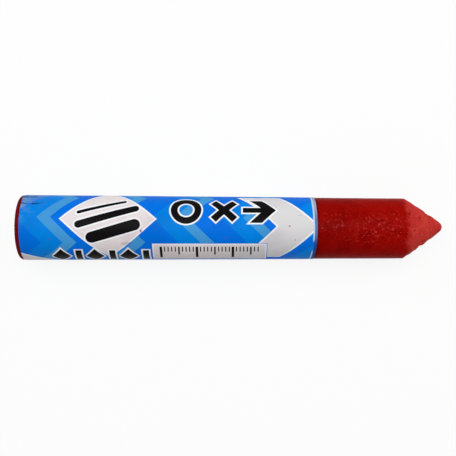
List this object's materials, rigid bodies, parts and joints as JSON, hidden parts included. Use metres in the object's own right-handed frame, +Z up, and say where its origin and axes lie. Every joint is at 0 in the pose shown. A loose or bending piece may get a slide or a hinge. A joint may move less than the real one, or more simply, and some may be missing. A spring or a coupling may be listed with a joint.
{
  "type": "marking crayon",
  "caption": "Thick round wax marking crayon with a blunt conical point and a printed paper label rolled round its butt two thirds, lying on its side.",
  "frame": {"origin": "on the surface that the crayon lies on, under the middle of its bounding box", "axes": "+X along the crayon from the butt to the point, +Z up"},
  "size_m": [0.12, 0.0186, 0.0186],
  "materials": {
    "wax": "satin red wax, matt where the point has been shaped",
    "paper": "varnished printed paper, slightly creased",
    "glue": "dried paste"
  },
  "bodies": {
    "root": {"wax_stick": "wax", "paper_label": "paper", "start_glue": "glue", "lap_glue": "glue"}
  },
  "joints": []
}
